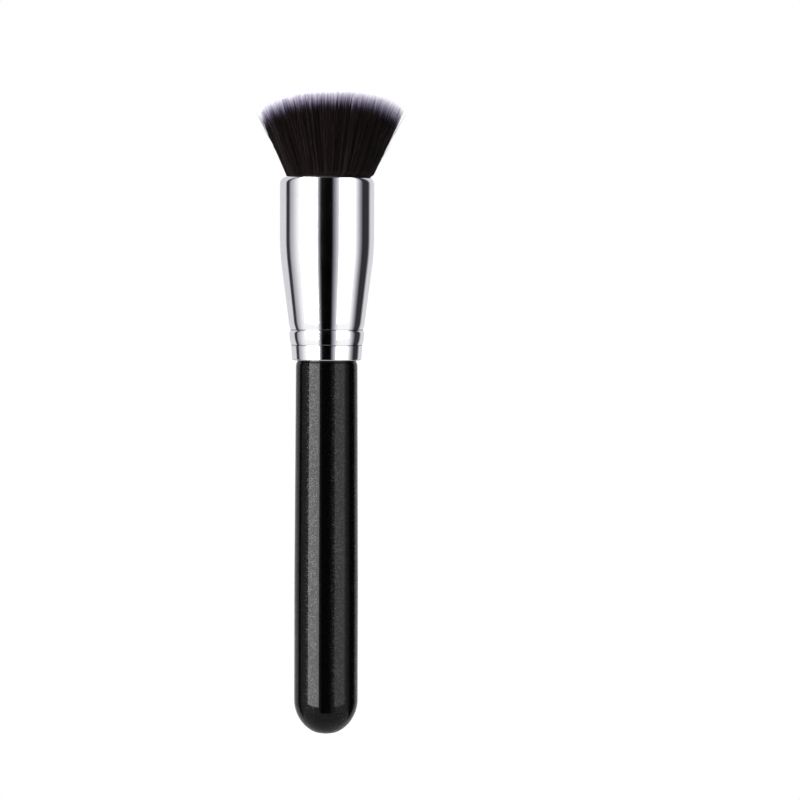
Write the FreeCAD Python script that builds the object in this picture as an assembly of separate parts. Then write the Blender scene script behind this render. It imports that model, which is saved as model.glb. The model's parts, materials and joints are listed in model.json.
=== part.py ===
"""A long-handled kabuki makeup brush: turned handle, drawn ferrule and a domed tuft of fibres.

Lengths are in millimetres. +Z runs along the brush towards the fibre tips. The origin is on the brush's axis, at the
middle of the straight shank of the handle, where a stand or a clip holds it.
"""
import FreeCAD, Part
import math
import os

# Handle, from the round butt up to the shoulder under the ferrule
HANDLE_LENGTH = 96.0
SHANK_LENGTH = 30.0
SHANK_RADIUS = 8.2
NECK_RADIUS = 7.9
BUTT_SIDE_RADIUS = 9.43
BUTT_SIDE_TURN = math.radians(50.0)
SHOULDER_ROUND = 0.6
UNDERCUT_DEPTH = 0.8

# Tenon of the handle, inside the ferrule
TENON_LENGTH = 14.0
TENON_CHAMFER = 0.8
KEY_GROOVE_COUNT = 3
KEY_GROOVE_WIDTH = 1.0
KEY_GROOVE_DEPTH = 0.4
ADHESIVE_THICKNESS = 0.3

# Ferrule, one drawn shell
FERRULE_WALL = 0.45
FERRULE_RADIUS = 12.05
BARREL_LENGTH = 15.8
MOUTH_BEND_RADIUS = 0.95
TAPER_LENGTH = 23.8
TAPER_BLEND_RADIUS = 60.0
FERRULE_FOOT_RADIUS = 8.87
BAND_LENGTH = 3.9
BAND_FLARE = 0.25
BEAD_LENGTH = 3.9
BEAD_RISE = 0.53
BEAD_CREST_SHARE = 0.77
BEAD_HEAD_DROP = 0.2
TAPER_FOOT_RISE = 0.38
CRIMP_WIDTH = 0.6
CRIMP_DEPTH = 0.2
LIP_BEND_RADIUS = 0.25
LIP_CLEARANCE = 0.1
SHOULDER_GAP = 0.3

# Fibre tuft, above the mouth of the ferrule
TUFT_HEIGHT = 21.28
TUFT_CORNER_RADIUS = 19.95
TUFT_CORNER_HEIGHT = 18.2
TUFT_EDGE_ROUND = 4.0
PIVOT_HEIGHT = 3.2
SEAM_HEIGHT = 5.0
SEAM_GAP = 0.35

# Fibre root, inside the ferrule
RESIN_FLOOR = 6.0
RESIN_GAP = 0.3
CUP_DEPTH = 2.5
CUP_WALL = 1.4
BOUND_LENGTH = 8.5
SPREAD_LENGTH = 3.4
FIBRE_CLEARANCE = 0.1
BOND_CLEARANCE = 0.05

# Thread wound on the fibre root
THREAD_DIAMETER = 0.6
THREAD_PITCH = 1.1
THREAD_TURNS = 4
THREAD_LIFT = 0.4
STRETCHES_PER_TURN = 4

# Past the face of what is cut
OVERRUN = 1.0

# Places along the axis
BUTT_OVERHANG = BUTT_SIDE_RADIUS - SHANK_RADIUS
NOSE_RADIUS = BUTT_SIDE_RADIUS - BUTT_OVERHANG / math.cos(BUTT_SIDE_TURN)
BUTT_LENGTH = BUTT_OVERHANG * math.tan(BUTT_SIDE_TURN) + NOSE_RADIUS
SHANK_TOP_Z = SHANK_LENGTH / 2
SHANK_FOOT_Z = -SHANK_TOP_Z
BUTT_Z = SHANK_FOOT_Z - BUTT_LENGTH
SHOULDER_Z = BUTT_Z + HANDLE_LENGTH
FERRULE_FOOT_Z = SHOULDER_Z + SHOULDER_GAP
LOWER_CRIMP_Z = FERRULE_FOOT_Z + BAND_LENGTH
UPPER_CRIMP_Z = LOWER_CRIMP_Z + BEAD_LENGTH
BARREL_Z = UPPER_CRIMP_Z + TAPER_LENGTH
MOUTH_Z = BARREL_Z + BARREL_LENGTH
TENON_FOOT_Z = FERRULE_FOOT_Z + FERRULE_WALL + LIP_CLEARANCE
TENON_TOP_Z = SHOULDER_Z + TENON_LENGTH
RESIN_Z = TENON_TOP_Z + RESIN_GAP
ROOT_Z = RESIN_Z + RESIN_FLOOR
PIVOT_Z = MOUTH_Z + PIVOT_HEIGHT
TIP_Z = MOUTH_Z + TUFT_HEIGHT

# Radii that follow from the driving ones
UNDERCUT_RADIUS = NECK_RADIUS - UNDERCUT_DEPTH
TENON_RADIUS = FERRULE_FOOT_RADIUS - FERRULE_WALL - ADHESIVE_THICKNESS
LIP_RADIUS = UNDERCUT_RADIUS + LIP_CLEARANCE
BAND_TOP_RADIUS = FERRULE_FOOT_RADIUS + BAND_FLARE
BEAD_RADIUS = BAND_TOP_RADIUS + BEAD_RISE
BEAD_HEAD_RADIUS = BEAD_RADIUS - BEAD_HEAD_DROP
TAPER_FOOT_RADIUS = BAND_TOP_RADIUS + TAPER_FOOT_RISE
MOUTH_ROUND = MOUTH_BEND_RADIUS + FERRULE_WALL
LIP_ROUND = LIP_BEND_RADIUS + FERRULE_WALL
MOUTH_RADIUS = FERRULE_RADIUS - MOUTH_ROUND
FIBRE_MOUTH_RADIUS = MOUTH_RADIUS - FIBRE_CLEARANCE
FLARE = (TUFT_CORNER_RADIUS - FIBRE_MOUTH_RADIUS) / TUFT_CORNER_HEIGHT
SEAM_RADIUS = FIBRE_MOUTH_RADIUS + FLARE * SEAM_HEIGHT
BALL_RADIUS = math.hypot(SEAM_RADIUS, SEAM_HEIGHT - PIVOT_HEIGHT)
SOCKET_RADIUS = BALL_RADIUS + SEAM_GAP


class Outline:
    """Half of a section through the brush's axis, drawn edge by edge as (radius, height) and turned about Z."""

    def __init__(self, radius, height):
        self.edges = []
        self.start = self.end = (radius, height)

    @staticmethod
    def place(spot):
        """The point in space of a (radius, height) pair."""
        return FreeCAD.Vector(spot[0], 0, spot[1])

    def line(self, radius, height):
        """A straight edge to the given spot, left out where the outline is there already."""
        spot = (radius, height)
        if math.dist(self.end, spot) > Part.Precision.confusion():
            self.edges.append(Part.makeLine(self.place(self.end), self.place(spot)))
            self.end = spot
        return self

    def arc(self, middle, radius, height):
        """A round edge through a spot on its way to the given one."""
        spot = (radius, height)
        self.edges.append(Part.Arc(self.place(self.end), self.place(middle), self.place(spot)).toShape())
        self.end = spot
        return self

    def bend(self, centre, radius, height):
        """A round edge, under a half circle, about a centre to the given spot."""
        size = math.dist(centre, self.end)
        across = (self.end[0] + radius) / 2 - centre[0]
        up = (self.end[1] + height) / 2 - centre[1]
        reach = size / math.hypot(across, up)
        return self.arc((centre[0] + across * reach, centre[1] + up * reach), radius, height)

    def crest(self, radius, height):
        """A round edge that ends upright at a crest, or starts upright where the outline stands on one."""
        outer = max(self.end, (radius, height))
        inner = min(self.end, (radius, height))
        drop = outer[0] - inner[0]
        size = (drop**2 + (outer[1] - inner[1]) ** 2) / (2 * drop)
        return self.bend((outer[0] - size, outer[1]), radius, height)

    def turned(self):
        """The solid that the closed outline sweeps about Z."""
        self.line(*self.start)
        face = Part.Face(Part.Wire(self.edges))
        return face.revolve(FreeCAD.Vector(), FreeCAD.Vector(0, 0, 1), 360)


def drum(radius, bottom, top):
    """A plain round solid on the axis."""
    return Part.makeCylinder(radius, top - bottom, FreeCAD.Vector(0, 0, bottom))


def tenon(grow=0.0):
    """The tenon with its key grooves, larger all over by a clearance where it is used as a cut."""
    radius = TENON_RADIUS + grow
    foot = TENON_FOOT_Z - grow
    top = TENON_TOP_Z + grow
    outline = Outline(0, foot).line(radius, foot).line(radius, top - TENON_CHAMFER)
    shape = outline.line(radius - TENON_CHAMFER, top).line(0, top).turned()
    step = (TENON_TOP_Z - TENON_FOOT_Z) / (KEY_GROOVE_COUNT + 1)
    half = KEY_GROOVE_WIDTH / 2 - grow
    for number in range(KEY_GROOVE_COUNT):
        middle = TENON_FOOT_Z + step * (number + 1)
        ring = drum(radius + OVERRUN, middle - half, middle + half)
        shape = shape.cut(ring.cut(drum(radius - KEY_GROOVE_DEPTH, middle - half, middle + half)))
    return shape


def handle():
    """The turned handle: butt in two tangent arcs, straight shank, taper, shoulder, undercut neck and tenon."""
    side_centre = (-BUTT_OVERHANG, SHANK_FOOT_Z)
    nose_centre = (0, BUTT_Z + NOSE_RADIUS)
    join_radius = NOSE_RADIUS * math.cos(BUTT_SIDE_TURN)
    join_z = nose_centre[1] - NOSE_RADIUS * math.sin(BUTT_SIDE_TURN)
    round_z = SHOULDER_Z - SHOULDER_ROUND
    round_radius = NECK_RADIUS - SHOULDER_ROUND
    outline = Outline(0, BUTT_Z)
    outline.bend(nose_centre, join_radius, join_z).bend(side_centre, SHANK_RADIUS, SHANK_FOOT_Z)
    outline.line(SHANK_RADIUS, SHANK_TOP_Z).line(NECK_RADIUS, round_z)
    outline.bend((round_radius, round_z), round_radius, SHOULDER_Z)
    outline.line(UNDERCUT_RADIUS, SHOULDER_Z).line(UNDERCUT_RADIUS, TENON_FOOT_Z).line(0, TENON_FOOT_Z)
    return outline.turned().fuse(tenon()).removeSplitter()


def ferrule_fill(inset=0.0):
    """The filled outside of the ferrule, or the space inside it where the inset is its wall or more."""
    foot_z = FERRULE_FOOT_Z + inset
    mouth_z = MOUTH_Z - inset
    lip_centre = (FERRULE_FOOT_RADIUS - LIP_ROUND, FERRULE_FOOT_Z + LIP_ROUND)
    mouth_centre = (MOUTH_RADIUS, MOUTH_Z - MOUTH_ROUND)
    half_crimp = CRIMP_WIDTH / 2
    crimp_radius = BAND_TOP_RADIUS - CRIMP_DEPTH - inset
    neck_radius = TAPER_FOOT_RADIUS - CRIMP_DEPTH - inset
    band_top_radius = BAND_TOP_RADIUS - inset
    bead_head_radius = BEAD_HEAD_RADIUS - inset
    taper_foot = (TAPER_FOOT_RADIUS - inset, UPPER_CRIMP_Z + half_crimp)
    barrel_radius = FERRULE_RADIUS - inset
    blend_centre = (barrel_radius - TAPER_BLEND_RADIUS, BARREL_Z)
    foot_angle = math.atan2(taper_foot[1] - blend_centre[1], taper_foot[0] - blend_centre[0])
    blend_angle = foot_angle + math.acos(TAPER_BLEND_RADIUS / math.dist(taper_foot, blend_centre))
    blend_radius = blend_centre[0] + TAPER_BLEND_RADIUS * math.cos(blend_angle)
    blend_z = BARREL_Z + TAPER_BLEND_RADIUS * math.sin(blend_angle)

    outline = Outline(0, foot_z).line(lip_centre[0], foot_z)
    outline.bend(lip_centre, FERRULE_FOOT_RADIUS - inset, lip_centre[1])
    outline.line(band_top_radius, LOWER_CRIMP_Z - half_crimp)
    outline.arc((crimp_radius, LOWER_CRIMP_Z), band_top_radius, LOWER_CRIMP_Z + half_crimp)
    outline.crest(BEAD_RADIUS - inset, LOWER_CRIMP_Z + BEAD_CREST_SHARE * BEAD_LENGTH)
    outline.crest(bead_head_radius, UPPER_CRIMP_Z - half_crimp)
    outline.arc((neck_radius, UPPER_CRIMP_Z), *taper_foot).line(blend_radius, blend_z)
    outline.bend(blend_centre, barrel_radius, BARREL_Z).line(barrel_radius, mouth_centre[1])
    outline.bend(mouth_centre, MOUTH_RADIUS, mouth_z).line(0, mouth_z)
    return outline.turned()


def ferrule():
    """The drawn shell, open at the mouth and at the curled lip."""
    mouth = drum(MOUTH_RADIUS, MOUTH_Z - MOUTH_ROUND, MOUTH_Z + OVERRUN)
    lip = drum(LIP_RADIUS, FERRULE_FOOT_Z - OVERRUN, FERRULE_FOOT_Z + LIP_ROUND)
    return ferrule_fill().cut(ferrule_fill(FERRULE_WALL)).cut(mouth).cut(lip)


def ferrule_bore(clearance, bottom, top):
    """A stretch of the space inside the ferrule, clear of its wall."""
    return ferrule_fill(FERRULE_WALL + clearance).common(drum(FERRULE_RADIUS, bottom, top))


def bound_radius():
    """The radius of the fibre root where the thread binds it and the resin cup holds it."""
    disc = ferrule_bore(BOND_CLEARANCE, ROOT_Z, ROOT_Z + CUP_DEPTH)
    rims = [edge.Curve.Radius for edge in disc.Edges if edge.Curve.TypeId == "Part::GeomCircle"]
    return min(rims) - CUP_WALL - FIBRE_CLEARANCE


def tenon_adhesive():
    """The adhesive that fills the ferrule round the tenon and its key grooves."""
    block = ferrule_bore(BOND_CLEARANCE, TENON_FOOT_Z, TENON_TOP_Z - TENON_CHAMFER)
    return block.cut(tenon(BOND_CLEARANCE))


def root_resin():
    """The plug on the end of the tenon, with a cup that the fibre root is potted in."""
    cup = drum(bound_radius() + FIBRE_CLEARANCE, ROOT_Z, ROOT_Z + CUP_DEPTH + OVERRUN)
    return ferrule_bore(BOND_CLEARANCE, RESIN_Z, ROOT_Z + CUP_DEPTH).cut(cup)


def tangent_arc(start, heading, end):
    """The round edge that leaves one point along a heading and ends at another point."""
    chord = end - start
    along = FreeCAD.Vector(chord).normalize()
    aside = (heading - along * heading.dot(along)).normalize()
    bow = chord.Length / 2 * math.tan(heading.getAngle(along) / 2)
    return Part.Arc(start, start + chord * 0.5 + aside * bow, end).toShape()


def biarc(start, heading, end, end_heading):
    """Two round edges, tangent where they join, that leave one point and reach another along the given headings."""
    span = end - start
    onward = span.dot(heading + end_heading)
    turning = 2 * (1 - heading.dot(end_heading))
    reach = (math.sqrt(onward**2 + turning * span.dot(span)) - onward) / turning
    first_corner = start + heading * reach
    second_corner = end - end_heading * reach
    join = (first_corner + second_corner) * 0.5
    join_heading = (second_corner - first_corner).normalize()
    return [tangent_arc(start, heading, join), tangent_arc(join, join_heading, end)]


def binding_thread():
    """Thread wound round the bound part of the fibre root, as one tube along a helix of paired arcs."""
    reach = bound_radius() + FIBRE_CLEARANCE + THREAD_DIAMETER / 2
    start_z = ROOT_Z + CUP_DEPTH + THREAD_LIFT + THREAD_DIAMETER / 2
    round_length = 2 * math.pi * reach

    def helix(turn):
        angle = 2 * math.pi * turn
        return FreeCAD.Vector(reach * math.cos(angle), reach * math.sin(angle), start_z + THREAD_PITCH * turn)

    def heading(turn):
        angle = 2 * math.pi * turn
        across = FreeCAD.Vector(-math.sin(angle), math.cos(angle), 0) * round_length
        return (across + FreeCAD.Vector(0, 0, THREAD_PITCH)).normalize()

    stops = [number / STRETCHES_PER_TURN for number in range(THREAD_TURNS * STRETCHES_PER_TURN + 1)]
    edges = []
    for here, there in zip(stops, stops[1:]):
        edges += biarc(helix(here), heading(here), helix(there), heading(there))
    section = Part.Wire(Part.makeCircle(THREAD_DIAMETER / 2, helix(0), heading(0)))
    gaps = [helix(turn).distanceToPoint(helix(turn + 1)) - THREAD_DIAMETER for turn in stops]
    print(f"least gap between the turns of the thread: {min(gaps):.2f} mm")
    return Part.Wire(edges).makePipeShell([section], True, False)


def tuft_root():
    """The fibres in the ferrule, bound at the foot, spread to its wall, and flared to the seam above its mouth."""
    tight = bound_radius()
    spread_z = ROOT_Z + BOUND_LENGTH
    full_z = spread_z + SPREAD_LENGTH
    bundle = Outline(0, ROOT_Z).line(tight, ROOT_Z).line(tight, spread_z).line(FERRULE_RADIUS, full_z)
    bundle = bundle.line(FERRULE_RADIUS, MOUTH_Z).line(0, MOUTH_Z).turned()
    inside = bundle.common(ferrule_fill(FERRULE_WALL + FIBRE_CLEARANCE))
    neck_z = MOUTH_Z - MOUTH_ROUND
    crown = Outline(0, neck_z).line(FIBRE_MOUTH_RADIUS, neck_z).line(FIBRE_MOUTH_RADIUS, MOUTH_Z)
    crown.line(SEAM_RADIUS, MOUTH_Z + SEAM_HEIGHT).bend((0, PIVOT_Z), 0, PIVOT_Z + BALL_RADIUS)
    return inside.fuse(crown.turned()).removeSplitter()


def tuft_head():
    """The free fibres: a flared, domed cap that rocks on the rounded top of the fibre root."""
    along = (MOUTH_Z - PIVOT_Z) + FIBRE_MOUTH_RADIUS * FLARE
    across = FIBRE_MOUTH_RADIUS**2 + (MOUTH_Z - PIVOT_Z) ** 2 - SOCKET_RADIUS**2
    slope = 1 + FLARE**2
    skirt_height = (math.sqrt(along**2 - slope * across) - along) / slope
    skirt = (FIBRE_MOUTH_RADIUS + FLARE * skirt_height, MOUTH_Z + skirt_height)
    corner_z = MOUTH_Z + TUFT_CORNER_HEIGHT
    rise = TIP_Z - corner_z
    dome_radius = (TUFT_CORNER_RADIUS**2 + rise**2) / (2 * rise)
    outline = Outline(0, PIVOT_Z + SOCKET_RADIUS).bend((0, PIVOT_Z), *skirt)
    outline.line(TUFT_CORNER_RADIUS, corner_z).bend((0, TIP_Z - dome_radius), 0, TIP_Z)
    shape = outline.turned()
    corner = max(shape.Edges, key=lambda edge: edge.BoundBox.XMax)
    return shape.makeFillet(TUFT_EDGE_ROUND, [corner])


PIECES = (handle, ferrule, tenon_adhesive, root_resin, binding_thread, tuft_root, tuft_head)

os.makedirs("parts", exist_ok=True)
for piece in PIECES:
    solid = piece()
    solid.exportStep(f"parts/{piece.__name__}.step")
    print(piece.__name__, len(solid.Solids), solid.isValid(), round(solid.Volume, 2), solid.BoundBox)
print(f"pivot at z {PIVOT_Z:.3f}, butt at z {BUTT_Z:.3f}, tips at z {TIP_Z:.3f}, mouth at z {MOUTH_Z:.3f}")
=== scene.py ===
"""The looks of a long-handled kabuki makeup brush: handle, polished ferrule and a domed tuft of fibres.

Lengths are in metres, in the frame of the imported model: +Z runs along the brush towards the fibre tips, and
the camera stands on the -Y side. Heights and radii that the solids already have are read from the frame.
"""
import cmath
import json
import logging
import math
from dataclasses import dataclass
from enum import Enum

import bmesh
import bpy
import numpy as np
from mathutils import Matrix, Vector, noise


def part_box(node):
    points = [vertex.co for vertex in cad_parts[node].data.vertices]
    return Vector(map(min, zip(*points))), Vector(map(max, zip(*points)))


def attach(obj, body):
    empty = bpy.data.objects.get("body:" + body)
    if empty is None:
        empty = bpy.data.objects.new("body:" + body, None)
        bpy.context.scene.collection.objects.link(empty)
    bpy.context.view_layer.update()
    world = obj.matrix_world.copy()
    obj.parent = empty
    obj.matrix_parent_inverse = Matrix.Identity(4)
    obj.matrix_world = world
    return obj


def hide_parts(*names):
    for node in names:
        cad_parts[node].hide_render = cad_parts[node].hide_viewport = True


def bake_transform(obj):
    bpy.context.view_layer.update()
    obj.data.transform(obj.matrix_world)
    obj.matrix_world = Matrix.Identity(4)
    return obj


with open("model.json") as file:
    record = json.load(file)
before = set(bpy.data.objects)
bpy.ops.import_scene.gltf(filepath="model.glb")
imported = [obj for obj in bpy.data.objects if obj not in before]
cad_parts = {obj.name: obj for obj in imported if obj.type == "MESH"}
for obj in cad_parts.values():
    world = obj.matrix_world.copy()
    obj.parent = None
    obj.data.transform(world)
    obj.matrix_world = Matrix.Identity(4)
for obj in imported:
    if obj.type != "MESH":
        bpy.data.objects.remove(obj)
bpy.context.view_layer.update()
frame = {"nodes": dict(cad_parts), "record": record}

Colour = tuple[float, float, float]
Pair = tuple[float, float]
Socket = bpy.types.NodeSocket
Piece = bpy.types.Object
Array = np.ndarray

SHANK = frame["record"]["mounts"][0]["dims"]
MM = 0.001
WHITE = (1.0, 1.0, 1.0)
BAKE_MAP = "OFBake"
STRAND = "strand"
FROM_TIP = "from_tip"
TURN_STEPS = 192
ARC_STEPS = 12
BEND_STEPS = 10
PROFILE_PITCH = 0.4 * MM
MERGE_DISTANCE = 0.001 * MM
SHARP_ANGLE = math.radians(50.0)
TO_DEGREES = math.degrees(1.0)

log = logging.getLogger("kabuki_brush")


class Signal:
    """One number that varies over a surface, on which Python's operators work by adding Math nodes."""

    def __init__(self, graph: "Graph", socket: Socket) -> None:
        """Wraps an output socket of a graph."""
        self.graph = graph
        self.socket = socket

    def maths(self, operation: str, *operands: "Signal | float") -> "Signal":
        """Adds a Math node with its operands in order, and returns its result."""
        node = self.graph.add("ShaderNodeMath", {"operation": operation}, dict(enumerate(operands)))
        return Signal(self.graph, node.outputs[0])

    def __add__(self, other: "Signal | float") -> "Signal":
        """The sum."""
        return self.maths("ADD", self, other)

    def __radd__(self, other: float) -> "Signal":
        """The sum, from the right."""
        return self.maths("ADD", other, self)

    def __sub__(self, other: "Signal | float") -> "Signal":
        """The difference."""
        return self.maths("SUBTRACT", self, other)

    def __rsub__(self, other: float) -> "Signal":
        """The difference, from the right."""
        return self.maths("SUBTRACT", other, self)

    def __mul__(self, other: "Signal | float") -> "Signal":
        """The product."""
        return self.maths("MULTIPLY", self, other)

    def __rmul__(self, other: float) -> "Signal":
        """The product, from the right."""
        return self.maths("MULTIPLY", other, self)

    def __neg__(self) -> "Signal":
        """The value with its sign turned."""
        return self.maths("MULTIPLY", self, -1.0)

    def __gt__(self, other: "Signal | float") -> "Signal":
        """One where this is greater, else zero."""
        return self.maths("GREATER_THAN", self, other)

    def rise(self, start: float, end: float) -> "Signal":
        """A smooth step of this value from zero to one.

        Args:
            start: the value where it leaves zero.
            end: the value where it reaches one.

        Returns:
            The step.
        """
        sockets = {"Value": self, "From Min": start, "From Max": end}
        node = self.graph.add("ShaderNodeMapRange", {"interpolation_type": "SMOOTHSTEP"}, sockets)
        return Signal(self.graph, node.outputs["Result"])


class Graph:
    """The nodes of one material or world."""

    def __init__(self, owner: bpy.types.Material | bpy.types.World) -> None:
        """Empties the owner's node tree.

        Args:
            owner: the material or world.
        """
        owner.use_nodes = True
        self.tree = owner.node_tree
        self.tree.nodes.clear()

    def add(self, kind: str, settings: dict | None = None, sockets: dict | None = None) -> bpy.types.Node:
        """Adds one node.

        Args:
            kind: the node's type.
            settings: its properties, and the stops of a colour ramp as (place, colour) pairs.
            sockets: values, signals or output sockets for its inputs, by name or number.

        Returns:
            The node.
        """
        node = self.tree.nodes.new(kind)
        for name, value in (settings or {}).items():
            if name == "stops":
                self.set_stops(node.color_ramp, value)
            else:
                setattr(node, name, value)
        for name, value in (sockets or {}).items():
            link = value.socket if isinstance(value, Signal) else value
            if isinstance(link, Socket):
                self.tree.links.new(link, node.inputs[name])
            else:
                node.inputs[name].default_value = link
        return node

    @staticmethod
    def set_stops(ramp: bpy.types.ColorRamp, stops: tuple[tuple[float, Colour], ...]) -> None:
        """Gives a colour ramp its stops.

        Args:
            ramp: the ramp.
            stops: pairs of place and colour, in order.
        """
        while len(ramp.elements) < len(stops):
            ramp.elements.new(1.0)
        for element, (place, colour) in zip(ramp.elements, stops):
            element.position = place
            element.color = (*colour, 1.0)

    def signal(
        self, kind: str, output: str, settings: dict | None = None, sockets: dict | None = None
    ) -> Signal:
        """Adds one node as add does, and returns one of its outputs as a signal."""
        return Signal(self, self.add(kind, settings, sockets).outputs[output])

    def vector(self, operation: str, *operands: Socket | Colour) -> Socket:
        """Adds a Vector Math node with its operands in order, and returns its vector."""
        sockets = dict(enumerate(operands))
        return self.add("ShaderNodeVectorMath", {"operation": operation}, sockets).outputs[0]

    def speckle(self, place: Socket, scale: float, detail: float) -> Signal:
        """Noise between zero and one, with so many spots to a metre and so many finer layers."""
        sockets = {"Vector": place, "Scale": scale, "Detail": detail}
        return self.signal("ShaderNodeTexNoise", "Fac", None, sockets)

    def place(self) -> Socket:
        """The place on the piece, in metres."""
        return self.add("ShaderNodeTexCoord").outputs["Object"]

    def axes(self, vector: Socket) -> tuple[Signal, Signal, Signal]:
        """The three parts of a vector."""
        node = self.add("ShaderNodeSeparateXYZ", None, {"Vector": vector})
        return tuple(Signal(self, output) for output in node.outputs)

    def stretched(self, place: Socket, share: float) -> Socket:
        """A place of which only a share of the height counts, so that patterns run along the brush."""
        sockets = {"Vector": place, "Scale": (1.0, 1.0, share)}
        return self.add("ShaderNodeMapping", {"vector_type": "POINT"}, sockets).outputs["Vector"]

    def mixed(self, share: Signal, first: Socket | Colour, second: Socket | Colour) -> Socket:
        """Mixes two colours.

        Args:
            share: how much of the second is in the mix.
            first: a colour or a colour socket.
            second: a colour or a colour socket.

        Returns:
            The mix.
        """
        sockets = {0: share}
        for number, colour in ((6, first), (7, second)):
            sockets[number] = colour if isinstance(colour, Socket) else (*colour, 1.0)
        return self.add("ShaderNodeMix", {"data_type": "RGBA"}, sockets).outputs[2]

    def bump(self, height: Signal, distance: float) -> Socket:
        """A normal tilted by a height that varies, where one stands for the given distance."""
        return self.add("ShaderNodeBump", None, {"Height": height, "Distance": distance}).outputs["Normal"]

    def surface(self, sockets: dict) -> None:
        """Ends a material in one principled surface with the given inputs."""
        shader = self.add("ShaderNodeBsdfPrincipled", None, sockets)
        self.add("ShaderNodeOutputMaterial", None, {"Surface": shader.outputs["BSDF"]})

    def backdrop(self, output: str, lit: bpy.types.Node, shown: bpy.types.Node) -> None:
        """Ends a material or world in one shader for the camera and one for all other rays.

        Args:
            output: the type of the output node.
            lit: the shader that all other rays meet.
            shown: the shader that the camera sees.
        """
        seen = self.signal("ShaderNodeLightPath", "Is Camera Ray")
        mix = self.add("ShaderNodeMixShader", None, {0: seen, 1: lit.outputs[0], 2: shown.outputs[0]})
        self.add(output, None, {"Surface": mix.outputs[0]})


class Finish:
    """A look that makes a material of its own."""

    name: str

    def dress(self, graph: Graph) -> None:
        """Builds the material's nodes."""
        raise NotImplementedError

    def material(self) -> bpy.types.Material:
        """Makes the material.

        Returns:
            The material, with its nodes.
        """
        material = bpy.data.materials.new(self.name)
        self.dress(Graph(material))
        return material


@dataclass(frozen=True)
class Lacquer(Finish):
    """Gloss black lacquer with fine pearl flecks under a clear coat."""

    name = "gloss_black_lacquer"

    black: Colour = (0.0007, 0.0007, 0.0008)
    pearl: Colour = (0.021, 0.021, 0.022)
    fleck_size: float = 0.15 * MM
    fleck_share: float = 0.16
    fleck_tilt: float = 0.8
    base_roughness: float = 0.16
    coat_roughness: float = 0.02
    coat_ior: float = 1.25

    def dress(self, graph: Graph) -> None:
        """Scatters tilted flecks under the coat.

        Args:
            graph: the material's nodes.
        """
        scale = 1.0 / self.fleck_size
        cells = graph.add("ShaderNodeTexVoronoi", None, {"Vector": graph.place(), "Scale": scale})
        luck = cells.outputs["Color"]
        fleck = graph.axes(luck)[0] > (1.0 - self.fleck_share)
        centred = graph.vector("SUBTRACT", luck, (0.5, 0.5, 0.5))
        cubed = graph.vector("MULTIPLY", graph.vector("MULTIPLY", centred, centred), centred)
        tilt = graph.vector("MULTIPLY", cubed, (self.fleck_tilt,) * 3)
        facing = graph.add("ShaderNodeNewGeometry").outputs["Normal"]
        graph.surface({
            "Base Color": graph.mixed(fleck, self.black, self.pearl),
            "Metallic": fleck,
            "Roughness": self.base_roughness,
            "Specular IOR Level": 0.0,
            "Normal": graph.vector("NORMALIZE", graph.vector("ADD", facing, tilt)),
            "Coat Weight": 1.0,
            "Coat Roughness": self.coat_roughness,
            "Coat IOR": self.coat_ior,
        })


@dataclass(frozen=True)
class BareWood(Finish):
    """Pale turned wood, with growth rings along the handle."""

    name = "bare_turned_wood"

    early: Colour = (0.62, 0.43, 0.25)
    late: Colour = (0.42, 0.26, 0.13)
    grain_stretch: float = 0.04
    ring_pitch: float = 1.6 * MM
    waviness: float = 3.0
    pores_per_metre: float = 9000.0
    pore_share: float = 0.3
    pore_depth: float = 0.04 * MM
    roughness: float = 0.5
    pore_roughness: float = 0.25

    def dress(self, graph: Graph) -> None:
        """Lays rings and pores along the grain.

        Args:
            graph: the material's nodes.
        """
        grain = graph.stretched(graph.place(), self.grain_stretch)
        rings = graph.signal(
            "ShaderNodeTexWave", "Fac", {"wave_type": "RINGS", "rings_direction": "Z"},
            {"Vector": grain, "Scale": 0.5 / self.ring_pitch, "Distortion": self.waviness, "Detail": 3.0},
        )
        pores = graph.speckle(grain, self.pores_per_metre, 4.0)
        late = rings * (1.0 - self.pore_share) + pores * self.pore_share
        graph.surface({
            "Base Color": graph.mixed(late, self.early, self.late),
            "Roughness": self.roughness + pores * self.pore_roughness,
            "Normal": graph.bump(pores, self.pore_depth),
        })


@dataclass(frozen=True)
class PolishedMetal(Finish):
    """Bright drawn aluminium with faint lines from the polishing wheel, and painted shade in its crevices."""

    name = "polished_aluminium_shell"

    # Heights of the crimps and the lip curl, which get painted shade: the metal's colour darkens towards the
    # colour below near each of them.
    crevices: tuple[float, ...]
    crevice_reach: float = 0.26 * MM
    crevice_share: float = 0.8
    tarnish: Colour = (0.16, 0.15, 0.16)
    tint: Colour = (0.925, 0.92, 0.945)
    dull_tint: Colour = (0.87, 0.865, 0.895)
    dull_share: float = 0.6
    dull_rise: Pair = (0.45, 0.75)
    clouds_per_metre: float = 260.0
    line_pitch: float = 0.12 * MM
    line_depth: float = 0.0006 * MM
    roughness: float = 0.05
    cloud_roughness: float = 0.05
    line_roughness: float = 0.03

    def dress(self, graph: Graph) -> None:
        """Clouds the polish, draws the wheel's lines and darkens the crevices with painted shade.

        Args:
            graph: the material's nodes.
        """
        place = graph.place()
        height = graph.axes(place)[2]
        lines = graph.signal(
            "ShaderNodeTexNoise", "Fac", {"noise_dimensions": "1D"},
            {"W": height * (1.0 / self.line_pitch), "Scale": 1.0, "Detail": 3.0},
        )
        clouds = graph.speckle(place, self.clouds_per_metre, 3.0)
        bright = graph.mixed(clouds.rise(*self.dull_rise) * self.dull_share, self.tint, self.dull_tint)
        # Painted shade: the base colour darkens in a narrow band round each crimp and the lip curl, where the
        # grooves would be in shadow.
        for crevice in self.crevices:
            away = height.maths("ABSOLUTE", height - crevice)
            near = (1.0 - away.rise(0.0, self.crevice_reach)) * self.crevice_share
            bright = graph.mixed(near, bright, self.tarnish)
        graph.surface({
            "Base Color": bright,
            "Metallic": 1.0,
            "Roughness": self.roughness + clouds * self.cloud_roughness + lines * self.line_roughness,
            "Normal": graph.bump(lines, self.line_depth),
        })


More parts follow.
